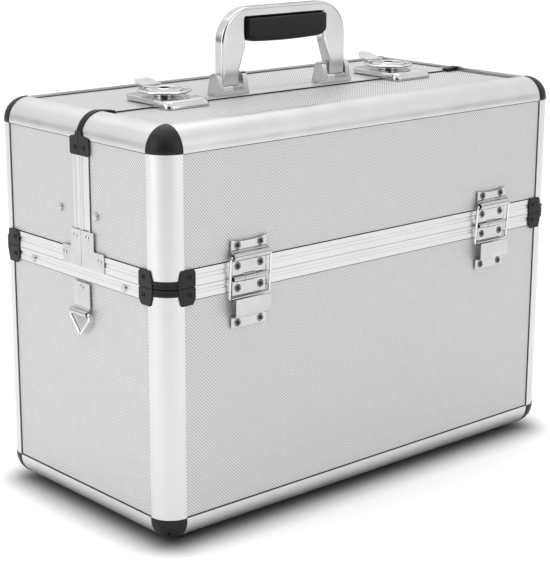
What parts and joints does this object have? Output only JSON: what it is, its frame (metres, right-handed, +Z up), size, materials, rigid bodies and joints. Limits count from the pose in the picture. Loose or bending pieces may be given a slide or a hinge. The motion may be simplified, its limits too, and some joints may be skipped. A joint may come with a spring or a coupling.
{
  "type": "makeup train case",
  "caption": "Rectangular aluminium-framed beauty case; two top lids open outwards on stop hinges and swing trays out; folding handle and twist latches.",
  "frame": {"origin": "middle of the case's footprint, on the surface its feet stand on", "axes": "+X along the case's width, to the right seen from the front; +Y from the front face to the rear face; +Z up"},
  "size_m": [0.4624, 0.2398, 0.405],
  "materials": {
    "board": "silver-grey laminated board with a fine raised diamond texture",
    "profile": "satin anodised",
    "steel": "bright nickel plating on pressed steel",
    "wire": "polished plating",
    "black_plastic": "smooth black with a soft gloss",
    "handle_metal": "satin cast",
    "rubber": "matt black",
    "tray": "matt black moulding"
  },
  "bodies": {
    "case": {"box_tub": "board", "box_frame": "profile", "foot_front_left": "rubber", "foot_front_right": "rubber", "foot_rear_left": "rubber", "foot_rear_right": "rubber", "box_rim_bracket_front_left": "black_plastic", "box_rim_bracket_front_right": "black_plastic", "box_rim_bracket_rear_left": "black_plastic", "box_rim_bracket_rear_right": "black_plastic", "lower_hinge_front_left": "steel", "lower_hinge_front_right": "steel", "lower_hinge_rear_left": "steel", "lower_hinge_rear_right": "steel", "ring_tab_left": "steel", "ring_tab_right": "steel"},
    "front_lid": {"front_lid_cover": "board", "front_lid_frame": "profile", "front_lid_rim_bracket_left": "black_plastic", "front_lid_rim_bracket_right": "black_plastic", "front_lid_seam_block_left": "black_plastic", "front_lid_seam_block_right": "black_plastic", "upper_hinge_front_left": "steel", "upper_hinge_front_right": "steel", "latch_catch_left": "steel", "latch_catch_right": "steel"},
    "rear_lid": {"rear_lid_cover": "board", "rear_lid_frame": "profile", "rear_lid_rim_bracket_left": "black_plastic", "rear_lid_rim_bracket_right": "black_plastic", "rear_lid_seam_block_left": "black_plastic", "rear_lid_seam_block_right": "black_plastic", "upper_hinge_rear_left": "steel", "upper_hinge_rear_right": "steel", "latch_base_left": "steel", "latch_base_right": "steel", "handle_bracket_left": "handle_metal", "handle_bracket_right": "handle_metal"},
    "front_bails": {"bail_front_left": "wire", "bail_front_right": "wire"},
    "rear_bails": {"bail_rear_left": "wire", "bail_rear_right": "wire"},
    "handle": {"handle_frame": "handle_metal", "handle_grip": "rubber"},
    "latch_left": {"latch_rotor_left": "steel"},
    "latch_right": {"latch_rotor_right": "steel"},
    "wing_left": {"latch_wing_left": "steel"},
    "wing_right": {"latch_wing_right": "steel"},
    "d_ring_left": {"carrying_ring_left": "wire"},
    "d_ring_right": {"carrying_ring_right": "wire"},
    "front_tray_arms": {"front_tray_arm_left": "steel", "front_tray_arm_right": "steel"},
    "front_tray": {"front_tray": "tray"},
    "front_tray_links": {"front_tray_link_left": "steel", "front_tray_link_right": "steel"},
    "rear_tray_arms": {"rear_tray_arm_left": "steel", "rear_tray_arm_right": "steel"},
    "rear_tray": {"rear_tray": "tray"},
    "rear_tray_links": {"rear_tray_link_left": "steel", "rear_tray_link_right": "steel"}
  },
  "joints": [
    {"name": "front_lid_hinge", "type": "hinge", "parent": "case", "child": "front_lid", "pos_m": [0, -0.1149, 0.2113], "axis": [1, 0, 0], "range_deg": [0, 85]},
    {"name": "front_bail_pivot", "type": "hinge", "parent": "front_lid", "child": "front_bails", "pos_m": [0, -0.1164, 0.2293], "axis": [1, 0, 0], "range_deg": [-55.3, 0]},
    {"name": "front_tray_arm_pivot", "type": "hinge", "parent": "case", "child": "front_tray_arms", "pos_m": [0, -0.0625, 0.2056], "axis": [1, 0, 0], "range_deg": [0, 80.49]},
    {"name": "front_tray_pivot", "type": "hinge", "parent": "front_tray_arms", "child": "front_tray", "pos_m": [0, -0.01862, 0.22998], "axis": [1, 0, 0], "range_deg": [-80.49, 0]},
    {"name": "front_tray_link_pivot", "type": "hinge", "parent": "front_lid", "child": "front_tray_links", "pos_m": [0, -0.0267, 0.2558], "axis": [1, 0, 0], "range_deg": [-4.61, 0]},
    {"name": "rear_lid_hinge", "type": "hinge", "parent": "case", "child": "rear_lid", "pos_m": [0, 0.1149, 0.2113], "axis": [-1, 0, 0], "range_deg": [0, 85]},
    {"name": "rear_bail_pivot", "type": "hinge", "parent": "rear_lid", "child": "rear_bails", "pos_m": [0, 0.1164, 0.2293], "axis": [-1, 0, 0], "range_deg": [-55.3, 0]},
    {"name": "rear_tray_arm_pivot", "type": "hinge", "parent": "case", "child": "rear_tray_arms", "pos_m": [0, 0.0625, 0.2056], "axis": [-1, 0, 0], "range_deg": [0, 80.64]},
    {"name": "rear_tray_pivot", "type": "hinge", "parent": "rear_tray_arms", "child": "rear_tray", "pos_m": [0, 0.00653, 0.23496], "axis": [-1, 0, 0], "range_deg": [-80.64, 0]},
    {"name": "rear_tray_link_pivot", "type": "hinge", "parent": "rear_lid", "child": "rear_tray_links", "pos_m": [0, 0.0215, 0.2558], "axis": [-1, 0, 0], "range_deg": [-4.46, 0]},
    {"name": "handle_hinge", "type": "hinge", "parent": "rear_lid", "child": "handle", "pos_m": [0, 0.008, 0.3455], "axis": [1, 0, 0], "range_deg": [-90, 90]},
    {"name": "latch_turn_left", "type": "hinge", "parent": "rear_lid", "child": "latch_left", "pos_m": [-0.13, 0.006, 0.341], "axis": [0, 0, 1], "range_deg": [0, 180]},
    {"name": "wing_lift_left", "type": "hinge", "parent": "latch_left", "child": "wing_left", "pos_m": [-0.13, 0.0242, 0.3425], "axis": [-1, 0, 0], "range_deg": [0, 40]},
    {"name": "latch_turn_right", "type": "hinge", "parent": "rear_lid", "child": "latch_right", "pos_m": [0.13, 0.006, 0.341], "axis": [0, 0, 1], "range_deg": [0, 180]},
    {"name": "wing_lift_right", "type": "hinge", "parent": "latch_right", "child": "wing_right", "pos_m": [0.13, 0.0242, 0.3425], "axis": [-1, 0, 0], "range_deg": [0, 40]},
    {"name": "d_ring_swing_left", "type": "hinge", "parent": "case", "child": "d_ring_left", "pos_m": [-0.2282, -0.007, 0.175], "axis": [0, 1, 0], "range_deg": [0, 150]},
    {"name": "d_ring_swing_right", "type": "hinge", "parent": "case", "child": "d_ring_right", "pos_m": [0.2282, -0.007, 0.175], "axis": [0, -1, 0], "range_deg": [0, 150]}
  ],
  "couplings": [
    {"joint": "front_bail_pivot", "follows": "front_lid_hinge", "ratio": -0.65},
    {"joint": "front_tray_arm_pivot", "follows": "front_lid_hinge", "ratio": 0.9463},
    {"joint": "front_tray_pivot", "follows": "front_lid_hinge", "ratio": -0.9463},
    {"joint": "front_tray_link_pivot", "follows": "front_lid_hinge", "ratio": -0.0537},
    {"joint": "rear_bail_pivot", "follows": "rear_lid_hinge", "ratio": -0.65},
    {"joint": "rear_tray_arm_pivot", "follows": "rear_lid_hinge", "ratio": 0.9481},
    {"joint": "rear_tray_pivot", "follows": "rear_lid_hinge", "ratio": -0.9481},
    {"joint": "rear_tray_link_pivot", "follows": "rear_lid_hinge", "ratio": -0.0519}
  ]
}
